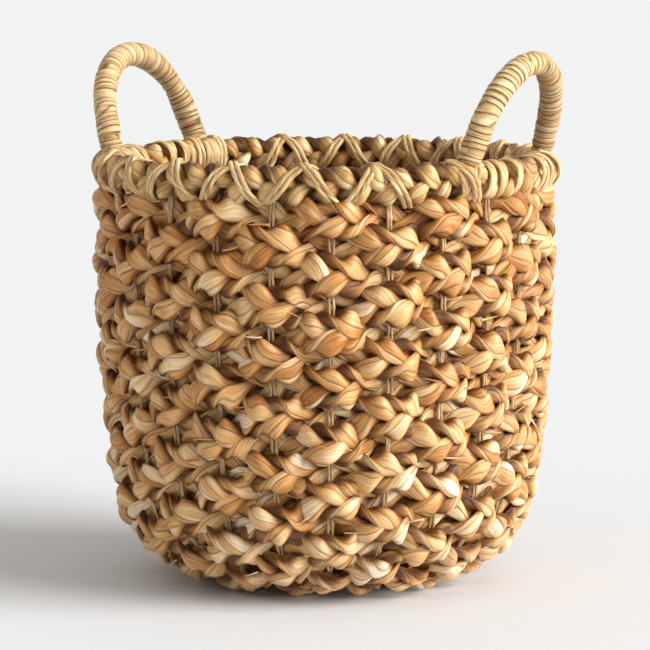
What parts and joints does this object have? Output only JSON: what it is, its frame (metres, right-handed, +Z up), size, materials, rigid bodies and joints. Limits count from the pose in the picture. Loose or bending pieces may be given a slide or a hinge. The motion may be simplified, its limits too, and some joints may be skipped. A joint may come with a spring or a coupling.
{
  "type": "seagrass storage basket",
  "caption": "Round barrel-sided storage basket of plaited seagrass woven over paired cord stakes, with a lashed rim and wrapped arch handles.",
  "frame": {"origin": "middle of the base, on the floor", "axes": "+Z up, the handles stand at +X and -X"},
  "size_m": [0.4486, 0.4348, 0.4976],
  "materials": {
    "plait": "dried seagrass leaf, satin sheen",
    "rim_plait": "dried seagrass leaf, paler, satin sheen",
    "stake_cord": "twisted leaf cord, dull",
    "lashing_cord": "twisted leaf cord, pale, dull",
    "handle_strip": "wound pale leaf strips, satin sheen",
    "wire": "drawn steel wire, dull"
  },
  "bodies": {
    "root": {"base_disc": "plait", "base_row_01": "plait", "base_row_02": "plait", "base_row_03": "plait", "wall_row_01": "plait", "wall_row_02": "plait", "wall_row_03": "plait", "wall_row_04": "plait", "wall_row_05": "plait", "wall_row_06": "plait", "wall_row_07": "plait", "wall_row_08": "plait", "wall_row_09": "plait", "wall_row_10": "plait", "wall_row_11": "plait", "wall_row_12": "plait", "wall_row_13": "plait", "wall_row_14": "plait", "wall_row_15": "plait", "wall_row_16": "plait", "stake_pair_01": "stake_cord", "stake_pair_02": "stake_cord", "stake_pair_03": "stake_cord", "stake_pair_04": "stake_cord", "stake_pair_05": "stake_cord", "stake_pair_06": "stake_cord", "stake_pair_07": "stake_cord", "stake_pair_08": "stake_cord", "stake_pair_09": "stake_cord", "stake_pair_10": "stake_cord", "stake_pair_11": "stake_cord", "stake_pair_12": "stake_cord", "stake_pair_13": "stake_cord", "stake_pair_14": "stake_cord", "stake_pair_15": "stake_cord", "stake_pair_16": "stake_cord", "stake_pair_17": "stake_cord", "stake_pair_18": "stake_cord", "stake_pair_19": "stake_cord", "stake_pair_20": "stake_cord", "stake_pair_21": "stake_cord", "stake_pair_22": "stake_cord", "stake_pair_23": "stake_cord", "stake_pair_24": "stake_cord", "rim_hoop": "wire", "rim_plait": "rim_plait", "rim_lashing_front": "lashing_cord", "rim_lashing_back": "lashing_cord", "handle_core_right": "wire", "handle_wrap_right": "handle_strip", "handle_tie_right_front": "lashing_cord", "handle_tie_right_back": "lashing_cord", "handle_core_left": "wire", "handle_wrap_left": "handle_strip", "handle_tie_left_front": "lashing_cord", "handle_tie_left_back": "lashing_cord"}
  },
  "joints": []
}
